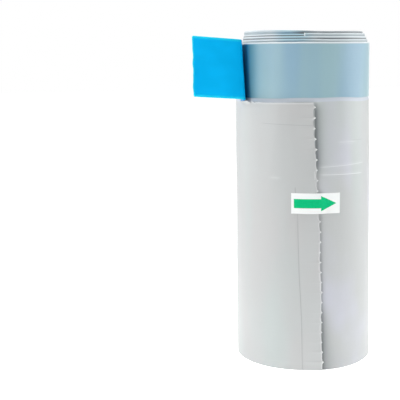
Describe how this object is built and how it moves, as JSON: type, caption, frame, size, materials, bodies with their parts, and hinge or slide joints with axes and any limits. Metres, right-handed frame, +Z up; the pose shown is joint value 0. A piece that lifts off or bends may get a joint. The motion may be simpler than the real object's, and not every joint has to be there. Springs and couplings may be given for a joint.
{
  "type": "roll of litter box liners",
  "caption": "Coreless roll of folded plastic liners standing on its end, with telescoped turns, a hem with a drawstring tape, a bent-out pull tab and a small arrow label on the torn edge.",
  "frame": {"origin": "on the axis of the winding hole, at the level of the floor that the roll stands on", "axes": "+Z up along the winding hole, -Y to the front with the torn edge and the label, +X to the right, and the pull tab points to -X"},
  "size_m": [0.0834, 0.0663, 0.1634],
  "materials": {
    "film": "satin white polyethylene film, slightly milky",
    "tape": "blown polyethylene tape with a soft gloss",
    "label": "coated paper with a green arrow"
  },
  "bodies": {
    "root": {"liner_roll": "film", "front_drawstring": "tape", "rear_drawstring": "tape", "arrow_label": "label"}
  },
  "joints": []
}
